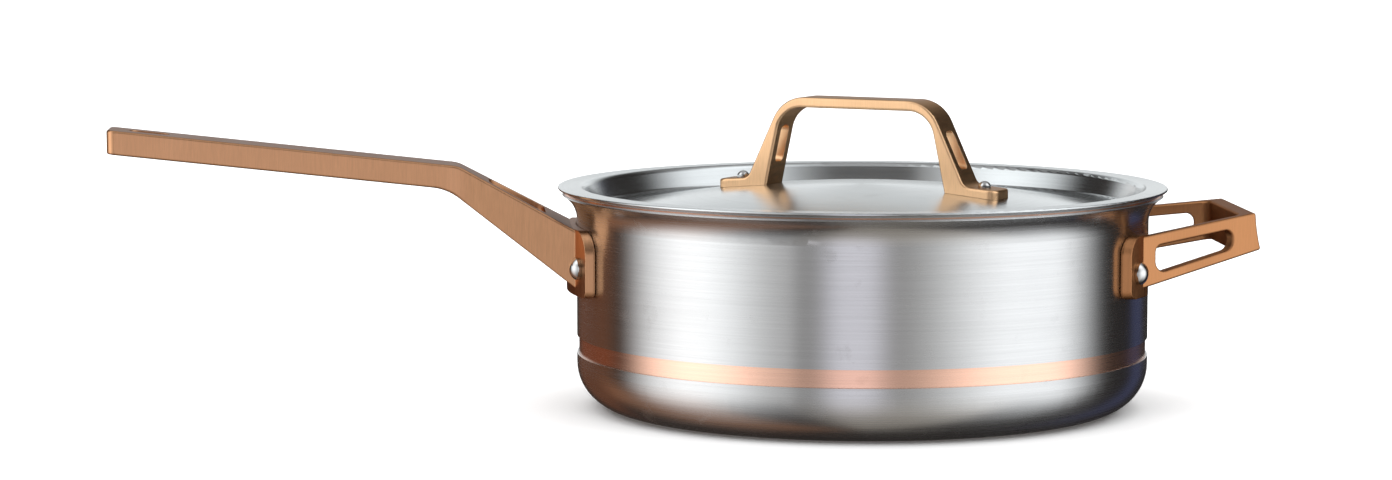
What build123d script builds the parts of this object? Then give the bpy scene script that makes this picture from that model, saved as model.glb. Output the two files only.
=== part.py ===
from build123d import *
from math import asin, cos, degrees, hypot, radians, sin, sqrt, tan
import os

# Low clad saucepan with a lid, a long handle and a helper handle. Millimetres, +Z up.
# The origin is the centre of the base, on the surface that the pan stands on.
# The long handle points along -X and the helper handle along +X.

os.makedirs("parts", exist_ok=True)

# ---- driving dimensions: the pan ------------------------------------------------
steel = 0.4                  # thickness of each steel ply
aluminium = 0.5              # thickness of each aluminium ply
copper = 0.7                 # thickness of the copper core
wall = 2 * steel + 2 * aluminium + copper
cooking_diameter = 240.0     # inside of the wall
radius = cooking_diameter / 2 + wall
corner = 20.0                # outside radius between the base and the wall
lip_height = 94.0            # highest point of the pan's own lip
flare_radius = 12.0          # hollow radius under the lip, on the outside
flare_angle = 61.0           # how far the lip turns outwards
flare_start = lip_height - (flare_radius + wall) * sin(radians(flare_angle))
band_low = 24.0              # the copper shows between these two heights
band_high = 31.6

# ---- driving dimensions: the lid ------------------------------------------------
seat_gap = 0.3               # air between the lid's flange and the lip
sheet = 1.0                  # thickness of the lid
flange_top = lip_height + seat_gap + sheet
flange_radius = 130.5
recess_radius = 119.5        # where the flange turns down into the recess
recess_lean = 20.0           # lean of the recess wall from vertical
bend = 1.6                   # inside radius of the lid's bends
rim_round = 0.35             # softened edge of the flange
dome_top = 95.9
dome_sphere = 560.0
dome_edge = 105.0            # radius where the dome meets the flat channel around it

# ---- driving dimensions: rivets -------------------------------------------------
shank_radius = 2.5
hole_play = 0.05
head_radius = 4.7
head_height = 4.0
inside_head_height = 1.5
domed_head_side = 0.35       # share of a domed head's height that is straight
flat_head_side = 0.4         # the same for the low head at the other end
flat_head_face = 0.7         # its flat face, as a share of its radius
rivet_height = 63.5
long_rivet_angle = 13.8      # around the pan, from the handle's own axis
helper_rivet_angle = 31.2
lid_shank_radius = 1.6
lid_head_radius = 2.7
lid_head_height = 3.0
lid_rivet_reach = 57.4

# ---- driving dimensions: the long handle ----------------------------------------
tip = -321.0                 # far end of the grip
bend_x = -173.0              # where the grip turns down into the neck
bend_top = 105.4
grip_slope = 6.2
grip_half_width = 12.0
grip_thickness = 10.3
neck_top_slope = 28.4
neck_low_slope = 37.4
neck_low_setback = 5.0       # the underside turns down this much nearer the tip
neck_top_bend = 12.0         # radii of the handle's bends
neck_low_bend = 22.0
neck_side_bend = 40.0
tip_corner = 4.0
neck_half_width = 26.0       # half width of the neck where it meets the pan
prong = 6.0                  # metal left each side of the neck's opening
opening_start = -160.0
opening_end = -136.0
opening_corner = 4.0
hanging_slot_x = -303.5
hanging_slot = (17.0, 8.0)

# ---- driving dimensions: the mounting tabs --------------------------------------
tab = 4.4                    # thickness of the tabs against the wall
long_tab_half_width = 39.3
long_tab_low = 51.5
long_tab_high = 79.5
long_tab_low_corner = 3.5
long_tab_high_corner = 11.0
helper_tab_half_width = 72.3
helper_tab_low = 53.0
helper_tab_high = 79.0
helper_tab_low_corner = 4.0
helper_tab_high_corner = 8.0
buried_corner = 1.0          # a tab's corners inside the arm that it belongs to

# ---- driving dimensions: the helper handle --------------------------------------
arm_root = (112.5, 60.5, 78.4)     # outer face of an arm at the pan, on its top edge
arm_end = (164.0, 34.8, 85.6)      # the same edge at the crosspiece
arm_low_root = 56.9
arm_low_end = 69.1
arm = 5.2                    # thickness of the arms
crosspiece = 6.5
rail_above = 5.0             # metal left above and below an arm's slot
rail_below = 4.2
slot_from_root = 5.4         # the slot's ends, measured along the arm
slot_from_end = 12.0
slot_corners = (4.5, 4.5, 3.5, 3.0)
end_bulge = 0.9              # the crosspiece's outer face bows out by this much
end_lean = 2.6               # and its lower edge stands this much further out
loop_corner = 6.0            # inside corner between an arm and the crosspiece

# ---- driving dimensions: the lid handle -----------------------------------------
lid_handle_turn = -32.0      # how the lid happens to be turned on the pan
lid_handle_width = 16.5
lid_handle_top = 132.8
strap = 4.4                  # thickness of the flat top
shoulder = 34.5              # where the top and a leg would meet if they weren't rounded
under_shoulder = 34.9
shoulder_bend = 16.0
under_shoulder_bend = 12.0
foot_joint = 51.3            # where a leg would meet its foot
under_foot_joint = 43.0
under_foot_inset = 1.2       # the leg's inner face starts this much nearer the middle
foot_bend = 5.0
under_foot_bend = 4.0
foot_reach = 66.0
foot_top = 96.5              # middle of the foot's top face, where the rivet goes
foot_rise = 0.6              # the foot stands this much higher against the leg
foot_fall = 0.5              # and this much lower at its end
foot_low = 90.0              # below the dome, which then cuts the foot's underside
foot_corner = 4.0
leg_slot = (7.6, 16.0)
leg_slot_height = 112.0
leg_slot_corner = 2.5

edge_round = 1.0             # softened edges of the handles


# ---- the pan: five bonded plies -------------------------------------------------
def wall_profile(depth):
    """Half profile of the pan, this far inside its outer surface. Returns its upper end."""
    Line((0, depth), (radius - corner, depth))
    CenterArc((radius - corner, corner), corner - depth, -90, 90)
    Line((radius - depth, corner), (radius - depth, flare_start))
    flare = CenterArc((radius + flare_radius, flare_start), flare_radius + depth, 180, -flare_angle)
    return flare @ 1


def around_pan(angle, height):
    """A place on the wall's outer surface whose own Z axis points straight outwards."""
    outwards = Vector(cos(radians(angle)), sin(radians(angle)), 0)
    origin = outwards * radius + Vector(0, 0, height)
    return Plane(origin=origin, x_dir=(0, 0, 1), z_dir=outwards).location


long_rivet_places = [around_pan(180 + side * long_rivet_angle, rivet_height) for side in (-1, 1)]
helper_rivet_places = [around_pan(side * helper_rivet_angle, rivet_height) for side in (-1, 1)]
rivet_hole = shank_radius + hole_play


def build_ply(outer_depth, thickness):
    """One layer of the pan, between two depths inside its outer surface, with rivet holes."""
    inner_depth = outer_depth + thickness
    with BuildPart() as ply:
        with BuildSketch(Plane.XZ):
            with BuildLine():
                outer_end = wall_profile(outer_depth)
                inner_end = wall_profile(inner_depth)
                Line((0, outer_depth), (0, inner_depth))
                Line(outer_end, inner_end)
            make_face()
        revolve(axis=Axis.Z)
        with Locations(*long_rivet_places, *helper_rivet_places):
            Cylinder(rivet_hole, 4 * wall, mode=Mode.SUBTRACT)
    return ply


whole_plies = {
    "copper_core": (steel + aluminium, copper),
    "inner_aluminium": (steel + aluminium + copper, aluminium),
    "inner_steel": (wall - steel, steel),
}
for name, layer in whole_plies.items():
    ply = build_ply(*layer)
    ply.part.label = name
    export_step(ply.part, f"parts/{name}.step")

# The two outermost plies are cut through by the groove that shows the copper core.
grooved_plies = {
    "outer_steel": (0, steel),
    "outer_aluminium": (steel, aluminium),
}
for name, layer in grooved_plies.items():
    whole = build_ply(*layer)
    for suffix, cut, side in (("wall", band_high, Keep.TOP), ("base", band_low, Keep.BOTTOM)):
        with BuildPart() as half:
            add(whole.part)
            split(bisect_by=Plane.XY.offset(cut), keep=side)
        half.part.label = f"{name}_{suffix}"
        export_step(half.part, f"parts/{name}_{suffix}.step")


# ---- mounting tabs --------------------------------------------------------------
def build_tab(outline, corner_radii):
    """A plate bent to lie against the +X side of the wall, from its outline seen along X."""
    with BuildPart() as plate:
        with BuildSketch(Plane.YZ):
            with BuildLine():
                FilletPolyline(*outline, radius=corner_radii, close=True)
            make_face()
        extrude(amount=2 * radius)
        with BuildSketch(Plane.XY):
            Circle(radius + tab)
            Circle(radius, mode=Mode.SUBTRACT)
        extrude(amount=lip_height, mode=Mode.INTERSECT)
        outer_face = plate.faces().filter_by(GeomType.CYLINDER).sort_by(SortBy.AREA)[-1]
        fillet(outer_face.edges(), edge_round)
    return plate.part


# ---- the long handle ------------------------------------------------------------
inside_pan = -100.0          # the neck is drawn to here, then cut back to the wall
tip_top = bend_top + (bend_x - tip) * tan(radians(grip_slope))
neck_top_end = bend_top - (inside_pan - bend_x) * tan(radians(neck_top_slope))
neck_low_x = bend_x - neck_low_setback
neck_low = bend_top + neck_low_setback * tan(radians(grip_slope)) - grip_thickness
neck_low_end = neck_low - (inside_pan - neck_low_x) * tan(radians(neck_low_slope))
splay = (neck_half_width - grip_half_width) / (-radius - bend_x)


def neck_half_width_at(x):
    """Half width of the widening neck, between the bend and the pan."""
    return grip_half_width + splay * (x - bend_x)


long_tab = build_tab(
    [
        (-long_tab_half_width, long_tab_low),
        (long_tab_half_width, long_tab_low),
        (long_tab_half_width, long_tab_high),
        (-long_tab_half_width, long_tab_high),
    ],
    [long_tab_low_corner, long_tab_low_corner, long_tab_high_corner, long_tab_high_corner],
)

with BuildPart() as long_handle:
    with BuildSketch(Plane.XZ):
        with BuildLine():
            FilletPolyline(
                (tip, tip_top),
                (bend_x, bend_top),
                (inside_pan, neck_top_end),
                (inside_pan, neck_low_end),
                (neck_low_x, neck_low),
                (tip, tip_top - grip_thickness),
                radius=[0, neck_top_bend, 0, 0, neck_low_bend, 0],
                close=True,
            )
        make_face()
    extrude(amount=2 * neck_half_width, both=True)
    with BuildSketch(Plane.XY):
        with BuildLine():
            FilletPolyline(
                (tip, -grip_half_width),
                (tip, grip_half_width),
                (bend_x, grip_half_width),
                (inside_pan, neck_half_width_at(inside_pan)),
                (inside_pan, -neck_half_width_at(inside_pan)),
                (bend_x, -grip_half_width),
                radius=[tip_corner, tip_corner, neck_side_bend, 0, 0, neck_side_bend],
                close=True,
            )
        make_face()
    extrude(amount=2 * tip_top, mode=Mode.INTERSECT)
    long_edges = long_handle.edges().filter_by(Axis.Z, reverse=True).filter_by(Axis.Y, reverse=True)
    fillet(long_edges, edge_round)
    # The opening in the neck and the hanging slot near the tip go right through.
    with BuildSketch(Plane.XY):
        with BuildLine():
            FilletPolyline(
                (opening_start, neck_half_width_at(opening_start) - prong),
                (opening_end, neck_half_width_at(opening_end) - prong),
                (opening_end, prong - neck_half_width_at(opening_end)),
                (opening_start, prong - neck_half_width_at(opening_start)),
                radius=opening_corner,
                close=True,
            )
        make_face()
        with Locations((hanging_slot_x, 0)):
            SlotOverall(*hanging_slot)
    extrude(amount=2 * tip_top, mode=Mode.SUBTRACT)
    add(long_tab, rotation=(0, 0, 180))
    Cylinder(radius, 3 * lip_height, mode=Mode.SUBTRACT)
    with Locations(*long_rivet_places):
        Cylinder(rivet_hole, 4 * tab, mode=Mode.SUBTRACT)
long_handle.part.label = "long_handle"
export_step(long_handle.part, "parts/long_handle.step")


# ---- the helper handle ----------------------------------------------------------
def along_arm(start, end, x):
    """A value that runs evenly from the arm's root to its end, at this X."""
    return start + (end - start) * (x - arm_root[0]) / (arm_end[0] - arm_root[0])


drawn_from = 95.0
drawn_to = 175.0
low_end = arm_end[0] + end_lean
arm_run = arm_end[0] - arm_root[0]
arm_closing = arm_root[1] - arm_end[1]
arm_length = hypot(arm_run, arm_closing)
arm_shift = arm * arm_length / arm_run
inner_end = arm_end[0] - crosspiece

helper_tab = build_tab(
    [
        (-helper_tab_half_width, helper_tab_low),
        (-arm_root[1] + arm_shift, helper_tab_low),
        (-arm_root[1] + arm_shift, helper_tab_high),
        (-helper_tab_half_width, helper_tab_high),
    ],
    [helper_tab_low_corner, buried_corner, buried_corner, helper_tab_high_corner],
)

# The -Y arm's own plane: X runs outwards along the arm, Y up, and Z out of its outer face.
near_arm_plane = Plane(
    origin=(arm_root[0], -arm_root[1], 0),
    x_dir=(arm_run, arm_closing, 0),
    z_dir=(arm_closing, -arm_run, 0),
)
slot_start = slot_from_root
slot_end = arm_length - slot_from_end


def slot_low_at(reach):
    return arm_low_root + (arm_low_end - arm_low_root) * reach / arm_length + rail_below


def slot_high_at(reach):
    return arm_root[2] + (arm_end[2] - arm_root[2]) * reach / arm_length - rail_above


with BuildPart() as helper_handle:
    # One half of the loop seen from the side, then seen from above.
    with BuildSketch(Plane.XZ):
        with BuildLine():
            top = Line(
                (drawn_from, along_arm(arm_root[2], arm_end[2], drawn_from)),
                (arm_end[0], arm_end[2]),
            )
            end = ThreePointArc(
                top @ 1,
                (arm_end[0] + end_bulge, (arm_end[2] + arm_low_end) / 2),
                (low_end, along_arm(arm_low_root, arm_low_end, low_end)),
            )
            low = Line(end @ 1, (drawn_from, along_arm(arm_low_root, arm_low_end, drawn_from)))
            Line(low @ 1, top @ 0)
        make_face()
    extrude(amount=helper_tab_half_width + tab)
    with BuildSketch(Plane.XY):
        with BuildLine():
            FilletPolyline(
                (drawn_from, -along_arm(arm_root[1], arm_end[1], drawn_from)),
                (drawn_to, -along_arm(arm_root[1], arm_end[1], drawn_to)),
                (drawn_to, 0),
                (inner_end, 0),
                (inner_end, arm_shift - along_arm(arm_root[1], arm_end[1], inner_end)),
                (drawn_from, arm_shift - along_arm(arm_root[1], arm_end[1], drawn_from)),
                radius=[0, 0, 0, 0, loop_corner, 0],
                close=True,
            )
        make_face()
    extrude(amount=2 * lip_height, mode=Mode.INTERSECT)
    with BuildSketch(near_arm_plane):
        with BuildLine():
            FilletPolyline(
                (slot_start, slot_low_at(slot_start)),
                (slot_end, slot_low_at(slot_end)),
                (slot_end, slot_high_at(slot_end)),
                (slot_start, slot_high_at(slot_start)),
                radius=slot_corners,
                close=True,
            )
        make_face()
    extrude(amount=2 * arm, both=True, mode=Mode.SUBTRACT)
    mirror(about=Plane.XZ)
    fillet(helper_handle.edges().filter_by(Axis.Z, reverse=True), edge_round)
    add(helper_tab)
    mirror(about=Plane.XZ)
    Cylinder(radius, 3 * lip_height, mode=Mode.SUBTRACT)
    with Locations(*helper_rivet_places):
        Cylinder(rivet_hole, 4 * tab, mode=Mode.SUBTRACT)
helper_handle.part.label = "helper_handle"
export_step(helper_handle.part, "parts/helper_handle.step")


# ---- rivets ---------------------------------------------------------------------
def build_rivet(shank, shank_from, shank_to, head, dome, flat_head):
    """A rivet along Z: a domed head above shank_to and a low head below shank_from."""
    side_height = dome * domed_head_side
    rise = dome - side_height
    cap = (head**2 + rise**2) / (2 * rise)
    cap_start = degrees(asin((cap - rise) / cap))
    with BuildPart() as rivet:
        with BuildSketch(Plane.XZ):
            with BuildLine():
                Polyline(
                    (0, shank_from - flat_head),
                    (head * flat_head_face, shank_from - flat_head),
                    (head, shank_from - flat_head * flat_head_side),
                    (head, shank_from),
                    (shank, shank_from),
                    (shank, shank_to),
                    (head, shank_to),
                    (head, shank_to + side_height),
                )
                CenterArc((0, shank_to + dome - cap), cap, cap_start, 90 - cap_start)
                Line((0, shank_to + dome), (0, shank_from - flat_head))
            make_face()
        revolve(axis=Axis.Z)
    return rivet.part


wall_rivet = build_rivet(
    shank_radius, -wall - 0.1, tab, head_radius, head_height, inside_head_height
)
wall_rivet_places = {
    "long_handle_rivet_1": long_rivet_places[0],
    "long_handle_rivet_2": long_rivet_places[1],
    "helper_handle_rivet_1": helper_rivet_places[0],
    "helper_handle_rivet_2": helper_rivet_places[1],
}
for name, place in wall_rivet_places.items():
    with BuildPart() as placed_rivet:
        with Locations(place):
            add(wall_rivet)
    placed_rivet.part.label = name
    export_step(placed_rivet.part, f"parts/{name}.step")


# ---- the lid --------------------------------------------------------------------
dome_centre = dome_top - dome_sphere
channel = dome_centre + sqrt(dome_sphere**2 - dome_edge**2)
lean = tan(radians(recess_lean))
recess_foot = recess_radius - (flange_top - channel) * lean
outward_shift = sheet / cos(radians(recess_lean))
under_recess_radius = recess_radius + outward_shift - sheet * lean
under_recess_foot = recess_foot + outward_shift - sheet * lean
under_dome_edge = sqrt((dome_sphere - sheet) ** 2 - (channel - sheet - dome_centre) ** 2)
dome_half_angle = degrees(asin(dome_edge / dome_sphere))
under_dome_half_angle = degrees(asin(under_dome_edge / (dome_sphere - sheet)))
lid_rivet_places = [
    Location((side * lid_rivet_reach * cos(radians(lid_handle_turn)),
              side * lid_rivet_reach * sin(radians(lid_handle_turn)), foot_top))
    for side in (-1, 1)
]
lid_hole = lid_shank_radius + hole_play

with BuildPart() as lid:
    with BuildSketch(Plane.XZ):
        with BuildLine():
            sheet_line = FilletPolyline(
                (dome_edge, channel),
                (recess_foot, channel),
                (recess_radius, flange_top),
                (flange_radius, flange_top),
                (flange_radius, flange_top - sheet),
                (under_recess_radius, flange_top - sheet),
                (under_recess_foot, channel - sheet),
                (under_dome_edge, channel - sheet),
                radius=[bend, bend + sheet, rim_round, rim_round, bend, bend + sheet],
            )
            CenterArc((0, dome_centre), dome_sphere, 90, -dome_half_angle)
            Line((0, dome_top), (0, dome_top - sheet))
            CenterArc((0, dome_centre), dome_sphere - sheet, 90, -under_dome_half_angle)
        make_face()
    revolve(axis=Axis.Z)
    with Locations(*lid_rivet_places):
        Cylinder(lid_hole, 20 * sheet, mode=Mode.SUBTRACT)
lid.part.label = "lid"
export_step(lid.part, "parts/lid.step")


# ---- the lid handle -------------------------------------------------------------
handle_direction = Vector(cos(radians(lid_handle_turn)), sin(radians(lid_handle_turn)), 0)
across_handle = Vector(-handle_direction.Y, handle_direction.X, 0)
handle_side = Plane(origin=(0, 0, 0), x_dir=handle_direction, z_dir=across_handle * -1)
handle_end = Plane(origin=(0, 0, 0), x_dir=across_handle, z_dir=handle_direction)

with BuildPart() as lid_handle:
    with BuildSketch(handle_side):
        with BuildLine():
            right_side = FilletPolyline(
                (0, lid_handle_top),
                (shoulder, lid_handle_top),
                (foot_joint, foot_top + foot_rise),
                (foot_reach, foot_top - foot_fall),
                (foot_reach, foot_low),
                (under_foot_joint, foot_low),
                (under_foot_joint - under_foot_inset, foot_top),
                (under_shoulder, lid_handle_top - strap),
                (0, lid_handle_top - strap),
                radius=[shoulder_bend, foot_bend, 0, 0, 0, under_foot_bend, under_shoulder_bend],
            )
            Line(right_side @ 1, right_side @ 0)
        make_face()
        mirror(about=Plane.YZ)
    extrude(amount=lid_handle_width / 2, both=True)
    with BuildSketch(Plane.XY):
        RectangleRounded(2 * foot_reach, lid_handle_width, foot_corner, rotation=lid_handle_turn)
    extrude(amount=2 * lid_handle_top, mode=Mode.INTERSECT)
    side_edges = lid_handle.faces().filter_by(handle_side).edges()
    fillet(side_edges.filter_by_position(Axis.Z, foot_top - 1, lid_handle_top), edge_round)
    with Locations((0, 0, dome_centre)):
        Sphere(dome_sphere, mode=Mode.SUBTRACT)
    with BuildSketch(handle_end):
        with Locations((0, leg_slot_height)):
            RectangleRounded(*leg_slot, leg_slot_corner)
    extrude(amount=foot_reach, both=True, mode=Mode.SUBTRACT)
    # Each foot has a rivet hole with a flat seat for the head around it.
    with Locations(*lid_rivet_places):
        Cylinder(lid_hole, 20 * sheet, mode=Mode.SUBTRACT)
        Cylinder(
            lid_head_radius + hole_play,
            lid_head_height,
            align=(Align.CENTER, Align.CENTER, Align.MIN),
            mode=Mode.SUBTRACT,
        )
lid_handle.part.label = "lid_handle"
export_step(lid_handle.part, "parts/lid_handle.step")

# ---- the lid's rivets -----------------------------------------------------------
under_head_reach = lid_rivet_reach + lid_head_radius
under_lid = dome_centre + sqrt((dome_sphere - sheet) ** 2 - under_head_reach**2) - foot_top
lid_rivet = build_rivet(
    lid_shank_radius, under_lid, 0, lid_head_radius, lid_head_height, sheet
)
for number, place in enumerate(lid_rivet_places, 1):
    with BuildPart() as placed_rivet:
        with Locations(place):
            add(lid_rivet)
    placed_rivet.part.label = f"lid_rivet_{number}"
    export_step(placed_rivet.part, f"parts/lid_rivet_{number}.step")
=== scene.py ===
from math import cos, pi, radians, sin

import bpy
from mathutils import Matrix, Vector

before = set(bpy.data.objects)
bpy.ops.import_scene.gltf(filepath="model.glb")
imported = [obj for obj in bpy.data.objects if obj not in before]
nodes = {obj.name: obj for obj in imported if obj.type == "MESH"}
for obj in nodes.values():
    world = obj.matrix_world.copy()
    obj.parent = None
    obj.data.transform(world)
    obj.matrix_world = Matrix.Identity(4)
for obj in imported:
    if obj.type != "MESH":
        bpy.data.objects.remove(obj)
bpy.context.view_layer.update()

# ---- the camera, from the photograph's viewing angle ----------------------------
VIEW_DISTANCE = 1.704        # along the ground, from the pan's axis
VIEW_HEIGHT = 0.2447
VIEW_HEADING = radians(-4)   # turned this far about the pan
VIEW_PITCH = radians(84.2)   # from straight down
VIEW_LEFT = 0.0713           # the camera stands this far left of the axis
LENS = 103.0
SENSOR = 36.0

forward = Vector((-sin(VIEW_HEADING), cos(VIEW_HEADING), 0))
left = Vector((-cos(VIEW_HEADING), -sin(VIEW_HEADING), 0))
camera_data = bpy.data.cameras.new("camera")
camera_data.lens = LENS
camera_data.sensor_width = SENSOR
camera_data.sensor_fit = "HORIZONTAL"
camera_data.clip_end = 100
camera = bpy.data.objects.new("camera", camera_data)
camera.location = left * VIEW_LEFT - forward * VIEW_DISTANCE + Vector((0, 0, VIEW_HEIGHT))
camera.rotation_euler = (VIEW_PITCH, 0, VIEW_HEADING)
bpy.context.scene.collection.objects.link(camera)
bpy.context.scene.camera = camera


# ---- small helpers for node trees -----------------------------------------------
class Graph:
    """A node tree being built: makes nodes and joins them in one call."""

    def __init__(self, tree):
        self.tree = tree
        self.tree.nodes.clear()

    def add(self, kind, settings=None, inputs=None):
        node = self.tree.nodes.new(kind)
        for key, value in (settings or {}).items():
            setattr(node, key, value)
        for key, value in (inputs or {}).items():
            self.set(node, key, value)
        return node

    def set(self, node, key, value):
        """Sets an input, or joins it if the value is another node's output."""
        if isinstance(value, bpy.types.NodeSocket):
            self.tree.links.new(value, node.inputs[key])
        else:
            node.inputs[key].default_value = value

    def math(self, operation, first, second=0.0):
        node = self.add("ShaderNodeMath", {"operation": operation}, {0: first, 1: second})
        return node.outputs[0]

    def vector_math(self, operation, first, second):
        node = self.add("ShaderNodeVectorMath", {"operation": operation}, {0: first, 1: second})
        return node.outputs[0]

    def vector(self, x, y, z):
        return self.add("ShaderNodeCombineXYZ", inputs={0: x, 1: y, 2: z}).outputs[0]

    def parts(self, vector):
        return self.add("ShaderNodeSeparateXYZ", inputs={0: vector}).outputs

    def remap(self, value, low, high, new_low, new_high, kind="LINEAR"):
        """Runs value from low..high to new_low..new_high, clamped."""
        numbers = dict(enumerate((value, low, high, new_low, new_high)))
        node = self.add("ShaderNodeMapRange", {"clamp": True, "interpolation_type": kind}, numbers)
        return node.outputs[0]

    def window(self, value, rise_from, rise_to, fall_from, fall_to):
        """1 between rise_to and fall_from, falling smoothly to 0 on either side."""
        rise = self.remap(value, rise_from, rise_to, 0.0, 1.0, "SMOOTHSTEP")
        fall = self.remap(value, fall_from, fall_to, 1.0, 0.0, "SMOOTHSTEP")
        return self.math("MULTIPLY", rise, fall)

    def noise(self, vector, scale, detail=3.0, roughness=0.55):
        settings = {"noise_dimensions": "3D"}
        inputs = {"Vector": vector, "Scale": scale, "Detail": detail, "Roughness": roughness}
        return self.add("ShaderNodeTexNoise", settings, inputs).outputs[0]

    def mix(self, share, first, second):
        node = self.add("ShaderNodeMix", {"data_type": "RGBA"}, {0: share, 6: first, 7: second})
        return node.outputs[2]

    def bump(self, height, distance, normal=None):
        inputs = {"Strength": 1.0, "Distance": distance, "Height": height}
        if normal is not None:
            inputs["Normal"] = normal
        return self.add("ShaderNodeBump", inputs=inputs).outputs[0]


class Surface(Graph):
    """A material with one Principled shader."""

    def __init__(self, name):
        self.material = bpy.data.materials.new(name)
        self.material.use_nodes = True
        super().__init__(self.material.node_tree)
        self.shader = self.add("ShaderNodeBsdfPrincipled")
        output = self.add("ShaderNodeOutputMaterial")
        self.set(output, "Surface", self.shader.outputs[0])
        self.place = self.add("ShaderNodeTexCoord").outputs["Object"]

    def finish(self, **inputs):
        for key, value in inputs.items():
            self.set(self.shader, key.replace("_", " "), value)
        return self.material


def assign(material, *names):
    for name in names:
        slots = nodes[name].data.materials
        slots.clear()
        slots.append(material)


def shade(colour, share):
    return (*(channel * share for channel in colour), 1.0)


# ---- brushed steel and copper, turned round the pan's axis ----------------------
FINE_LINES = 3400.0          # brushing lines per metre
COARSE_LINES = 1100.0
LINE_CURL = 1.8              # how often a line starts afresh on its way round
FINE_DEPTH = 0.0000014
COARSE_DEPTH = 0.0000014
SMUDGE_SCALE = 14.0          # faint smudges and small marks, per metre
MARK_SCALE = 90.0
LINE_SHADE = 0.93            # how dark a line and a smudge are, beside the clean metal
SMUDGE_SHADE = 0.90
SMUDGE_SHARE = 0.4
QUARTER_TURN = 0.25          # the brushing blurs reflections across its lines


def turned_lines(g, per_metre):
    """Noise drawn out into lines round the Z axis, on walls and on flat faces alike."""
    x, y, z = g.parts(g.place)
    reach = g.math("SQRT", g.math("ADD", g.math("MULTIPLY", x, x), g.math("MULTIPLY", y, y)))
    safe_reach = g.math("MAXIMUM", reach, 0.0005)
    around = g.vector(
        g.math("MULTIPLY", g.math("DIVIDE", x, safe_reach), LINE_CURL),
        g.math("MULTIPLY", g.math("DIVIDE", y, safe_reach), LINE_CURL),
        g.math("MULTIPLY", z, per_metre),
    )
    inputs = {
        "Vector": around,
        "W": g.math("MULTIPLY", reach, per_metre),
        "Scale": 1.0,
        "Detail": 2.0,
        "Roughness": 0.7,
    }
    return g.add("ShaderNodeTexNoise", {"noise_dimensions": "4D"}, inputs).outputs[0]


def turned_metal(name, colour, roughness, anisotropy, unevenness=0.05):
    """Metal brushed round the Z axis, with fine and coarse lines and faint smudges."""
    g = Surface(name)
    fine = turned_lines(g, FINE_LINES)
    coarse = turned_lines(g, COARSE_LINES)
    patches = g.noise(g.place, SMUDGE_SCALE)
    marks = g.noise(g.place, MARK_SCALE, 4.0)
    line_share = g.remap(coarse, 0.3, 0.7, 0.0, 1.0)
    lined = g.mix(line_share, shade(colour, LINE_SHADE), shade(colour, 1.0))
    smudge_share = g.remap(patches, 0.5, 0.8, 0.0, SMUDGE_SHARE)
    smudged = g.mix(smudge_share, lined, shade(colour, SMUDGE_SHADE))
    uneven = g.remap(fine, 0.25, 0.75, roughness - unevenness, roughness + unevenness)
    patchy = g.math("ADD", uneven, g.remap(patches, 0.4, 0.8, 0.0, unevenness))
    marked = g.math("ADD", patchy, g.remap(marks, 0.62, 0.72, 0.0, unevenness))
    tangent = g.add("ShaderNodeTangent", {"direction_type": "RADIAL", "axis": "Z"})
    lines_normal = g.bump(fine, FINE_DEPTH, g.bump(coarse, COARSE_DEPTH))
    return g.finish(
        Base_Color=smudged,
        Metallic=1.0,
        Roughness=marked,
        Anisotropic=anisotropy,
        Anisotropic_Rotation=QUARTER_TURN,
        Tangent=tangent.outputs[0],
        Normal=lines_normal,
    )


STEEL = (0.62, 0.625, 0.63)
# painted reflection: the lid's steel is a bluer copy of the pan's steel, standing in for the bluish
# tint the dome reflects
LID_STEEL_PAINTED_REFLECTION = (0.63, 0.655, 0.665)
POLISHED = (0.62, 0.625, 0.63)
COPPER = (0.96, 0.60, 0.46)
ALUMINIUM = (0.72, 0.72, 0.73)

assign(turned_metal("wall_steel", STEEL, 0.23, 0.8), "outer_steel_wall")
assign(turned_metal("cup_steel", STEEL, 0.25, 0.8), "outer_steel_base")
assign(turned_metal("cooking_steel", STEEL, 0.27, 0.7), "inner_steel")
assign(turned_metal("core_copper", COPPER, 0.25, 0.7), "copper_core")
core_aluminium = turned_metal("core_aluminium", ALUMINIUM, 0.38, 0.4)
assign(core_aluminium, "inner_aluminium", "outer_aluminium_base", "outer_aluminium_wall")
assign(turned_metal("lid_steel", LID_STEEL_PAINTED_REFLECTION, 0.22, 0.7, 0.03), "lid")


# ---- satin bronze handles, brushed across their length --------------------------
LONG_BRONZE = (0.73, 0.39, 0.21)
# painted shade: the helper handle's bronze is a darker copy of the same finish, standing in for the
# dimmer light on its faces
HELPER_BRONZE_PAINTED_SHADE = (0.56, 0.26, 0.115)
# painted light: the lid handle's bronze is a brighter copy of the same finish, standing in for the
# stronger light on its front faces
LID_BRONZE_PAINTED_LIGHT = (0.98, 0.62, 0.35)
GRAZING = (0.36, 0.35, 0.36, 1.0)   # how much of a glancing reflection the satin finish keeps
ACROSS_LINES = 2600.0
ACROSS_STRETCH = 120.0
ACROSS_DEPTH = 0.0000025
SOFT_EDGE = 0.0005
BRONZE_SPREAD = 0.05         # how far the roughness strays either side of its middle
BRONZE_PATCH = 0.06
BRONZE_PATCH_SCALE = 26.0
BRONZE_LINE_SHADE = 0.84
BRONZE_PATCH_SHADE = 0.82
STANDING = 0.5               # share of the vertical in the direction that the brushing blurs


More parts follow.
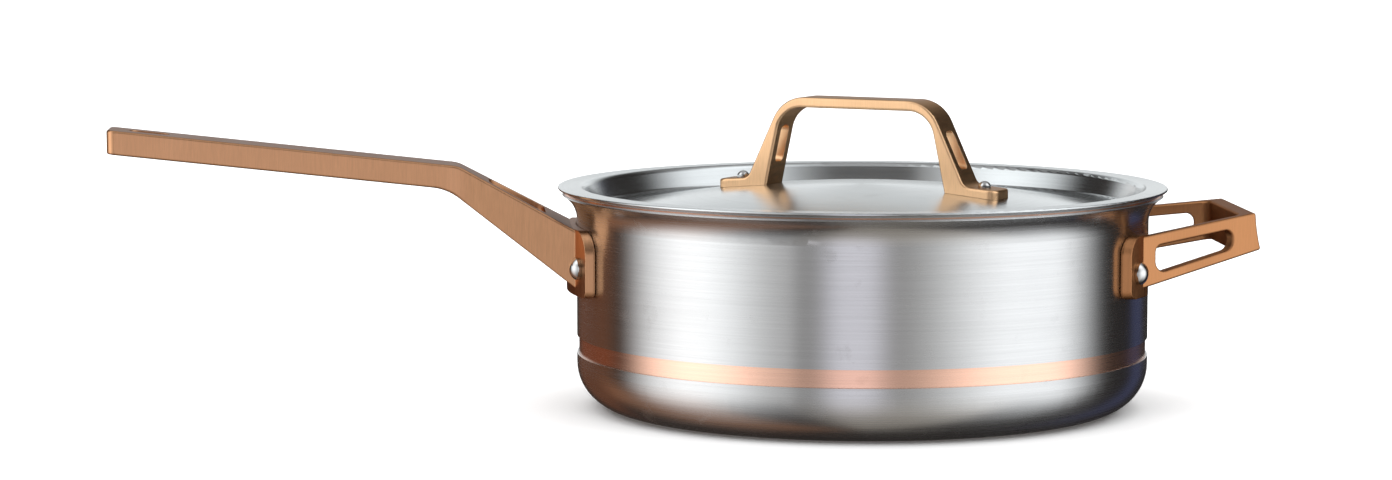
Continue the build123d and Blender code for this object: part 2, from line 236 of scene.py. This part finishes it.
def satin_bronze(name, colour, roughness, anisotropy, turn=0.0):
    """Copper-coloured metal, brushed across a handle that points along this heading."""
    g = Surface(name)
    length_way = Vector((cos(turn), sin(turn), 0))
    width_way = Vector((-sin(turn), cos(turn), 0))
    along = g.add("ShaderNodeVectorMath", {"operation": "DOT_PRODUCT"}, {0: g.place, 1: length_way})
    across = g.add("ShaderNodeVectorMath", {"operation": "DOT_PRODUCT"}, {0: g.place, 1: width_way})
    height = g.parts(g.place)[2]
    stretched = g.vector(
        g.math("MULTIPLY", along.outputs["Value"], ACROSS_LINES),
        g.math("MULTIPLY", across.outputs["Value"], ACROSS_STRETCH),
        g.math("MULTIPLY", height, ACROSS_STRETCH),
    )
    lines = g.noise(stretched, 1.0, 2.0, 0.7)
    patches = g.noise(g.place, BRONZE_PATCH_SCALE)
    line_share = g.remap(lines, 0.3, 0.7, 0.0, 1.0)
    lined = g.mix(line_share, shade(colour, BRONZE_LINE_SHADE), shade(colour, 1.0))
    patch_share = g.remap(patches, 0.4, 0.8, 0.0, 0.5)
    toned = g.mix(patch_share, lined, shade(colour, BRONZE_PATCH_SHADE))
    smoothest = roughness - BRONZE_SPREAD
    roughest = roughness + BRONZE_SPREAD
    rough = g.remap(lines, 0.25, 0.75, smoothest, roughest)
    patchy = g.math("ADD", rough, g.remap(patches, 0.4, 0.8, 0.0, BRONZE_PATCH))
    rounded = g.add("ShaderNodeBevel", {"samples": 6}, {"Radius": SOFT_EDGE})
    return g.finish(
        Base_Color=toned,
        Metallic=1.0,
        Specular_Tint=GRAZING,
        Roughness=patchy,
        Anisotropic=anisotropy,
        Tangent=g.vector(length_way.x, length_way.y, STANDING),
        Normal=g.bump(lines, ACROSS_DEPTH, rounded.outputs[0]),
    )


LID_HANDLE_TURN = radians(-32)
assign(satin_bronze("long_bronze", LONG_BRONZE, 0.32, 0.6), "long_handle")
assign(satin_bronze("helper_bronze_painted_shade", HELPER_BRONZE_PAINTED_SHADE, 0.40, 0.4), "helper_handle")
assign(satin_bronze("lid_bronze_painted_light", LID_BRONZE_PAINTED_LIGHT, 0.32, 0.6, LID_HANDLE_TURN), "lid_handle")


# ---- polished rivets ------------------------------------------------------------
RIVET_MARK_SCALE = 900.0
RIVET_TARNISH_SCALE = 260.0
RIVET_TARNISH_SHADE = 0.88
RIVET_MARK_DEPTH = 0.000002
RIVET_ROUGHNESS = (0.07, 0.14)


def polished_steel(name):
    g = Surface(name)
    marks = g.noise(g.place, RIVET_MARK_SCALE, 4.0)
    tarnish = g.noise(g.place, RIVET_TARNISH_SCALE)
    tarnish_share = g.remap(tarnish, 0.4, 0.7, 0.0, 1.0)
    toned = g.mix(tarnish_share, shade(POLISHED, 1.0), shade(POLISHED, RIVET_TARNISH_SHADE))
    return g.finish(
        Base_Color=toned,
        Metallic=1.0,
        Roughness=g.remap(marks, 0.4, 0.7, *RIVET_ROUGHNESS),
        Normal=g.bump(marks, RIVET_MARK_DEPTH),
    )


assign(polished_steel("rivet_steel"), *[name for name in nodes if "rivet" in name])


# ---- floor ----------------------------------------------------------------------
FLOOR_HALF = 7.0
FIBRE_SCALE = 60.0
PAPER = ((0.85, 0.85, 0.85, 1), (0.87, 0.87, 0.87, 1))
PAPER_ROUGHNESS = 0.9

floor_mesh = bpy.data.meshes.new("floor")
corner_signs = ((-1, -1), (1, -1), (1, 1), (-1, 1))
floor_corners = [(x * FLOOR_HALF, y * FLOOR_HALF, 0) for x, y in corner_signs]
floor_mesh.from_pydata(floor_corners, [], [(0, 1, 2, 3)])
floor = bpy.data.objects.new("floor", floor_mesh)
bpy.context.scene.collection.objects.link(floor)
paper = Surface("floor_paper")
fibres = paper.noise(paper.place, FIBRE_SCALE)
pale = paper.mix(fibres, *PAPER)
floor_mesh.materials.append(paper.finish(Base_Color=pale, Roughness=PAPER_ROUGHNESS))
floor.visible_glossy = False


# ---- studio light ---------------------------------------------------------------
# Softboxes painted on the world. Headings are degrees round the pan, 0 towards -Y and
# 90 towards +X; heights are the sine of the angle above the horizon.
ALL_ROUND = (-200, -199, 199, 200)
SOFTBOXES = {
    "left_box": ((-122, -92, -74, -34), (-1.0, 0.05, 0.8, 1.0), (1.13, 1.16, 1.17)),
    "left_scrim": ((-98, -80, -36, -30), (-1.0, 0.05, 0.7, 0.9), (0.34, 0.34, 0.34)),
    "front_strip": ((-27, -13, -5, 9), (-1.0, 0.05, 0.1, 0.4), (0.66, 0.65, 0.74)),
    "front_fill": ((-118, -80, 80, 112), (-1.0, 0.05, 0.1, 0.5), (0.40, 0.40, 0.40)),
    "right_box": ((4, 58, 74, 108), (-1.0, 0.05, 0.8, 1.0), (1.30, 1.33, 1.35)),
    "floor_glow": ((-45, -10, 45, 68), (-1.2, -1.1, -0.6, -0.1), (0.32, 0.29, 0.25)),
    "blue_strip": ((128, 134, 142, 150), (-0.9, -0.5, 0.0, 0.2), (0.03, 0.04, 0.10)),
    "warm_table": ((-150, -125, -85, -60), (-1.2, -1.1, -0.5, 0.0), (0.24, 0.11, 0.055)),
    "warm_edge": ((-175, -160, -135, -118), (-0.6, -0.4, 0.0, 0.2), (0.12, 0.035, 0.010)),
    "ceiling": (ALL_ROUND, (0.5, 0.9, 1.1, 1.2), (0.50, 0.50, 0.50)),
}
BACKDROP = (0.92, 0.95, 0.96)
BACKDROP_HEIGHT = (0.02, 0.07, 0.2, 0.9)
BACKDROP_DEPTH = (0.72, 0.93)      # cosines of how far from straight behind it fades
DARK_ROOM = (0.030, 0.026, 0.024)
SEEN_WHITE = (1, 1, 1, 1)          # what the camera itself sees behind the pan

world = bpy.data.worlds.new("studio")
world.use_nodes = True
sky = Graph(world.node_tree)
direction = sky.add("ShaderNodeTexCoord").outputs["Generated"]
side, depth, up = sky.parts(direction)
angle = sky.math("ARCTAN2", side, sky.math("MULTIPLY", depth, -1.0))
heading = sky.math("MULTIPLY", angle, 180 / pi)


def add_light(light, heading_share, height_share, colour):
    """Adds a coloured patch of light where both of its shares are above nothing."""
    share = sky.math("MULTIPLY", heading_share, height_share)
    patch = sky.vector_math("MULTIPLY", sky.vector(share, share, share), colour)
    return sky.vector_math("ADD", light, patch)


light = sky.vector(*DARK_ROOM)
for heading_window, height_window, colour in SOFTBOXES.values():
    heading_share = sky.window(heading, *heading_window)
    light = add_light(light, heading_share, sky.window(up, *height_window), colour)
behind = sky.remap(depth, *BACKDROP_DEPTH, 0.0, 1.0, "SMOOTHSTEP")
light = add_light(light, behind, sky.window(up, *BACKDROP_HEIGHT), BACKDROP)
seen = sky.add("ShaderNodeLightPath").outputs["Is Camera Ray"]
background = sky.add("ShaderNodeBackground", inputs={"Color": sky.mix(seen, light, SEEN_WHITE)})
sky_output = sky.add("ShaderNodeOutputWorld")
sky.set(sky_output, "Surface", background.outputs[0])
world.cycles_visibility.diffuse = False
bpy.context.scene.world = world

# The floor has a light of its own, so that it stays pale whatever the metal reflects.
FLOOR_LIGHT = 6.0
FLOOR_LIGHT_SPREAD = radians(120)
floor_light = bpy.data.lights.new("floor_light", "SUN")
floor_light.energy = FLOOR_LIGHT
floor_light.angle = FLOOR_LIGHT_SPREAD
floor_lamp = bpy.data.objects.new("floor_light", floor_light)
floor_lamp.visible_glossy = False
bpy.context.scene.collection.objects.link(floor_lamp)

bpy.context.scene.view_settings.view_transform = "Standard"
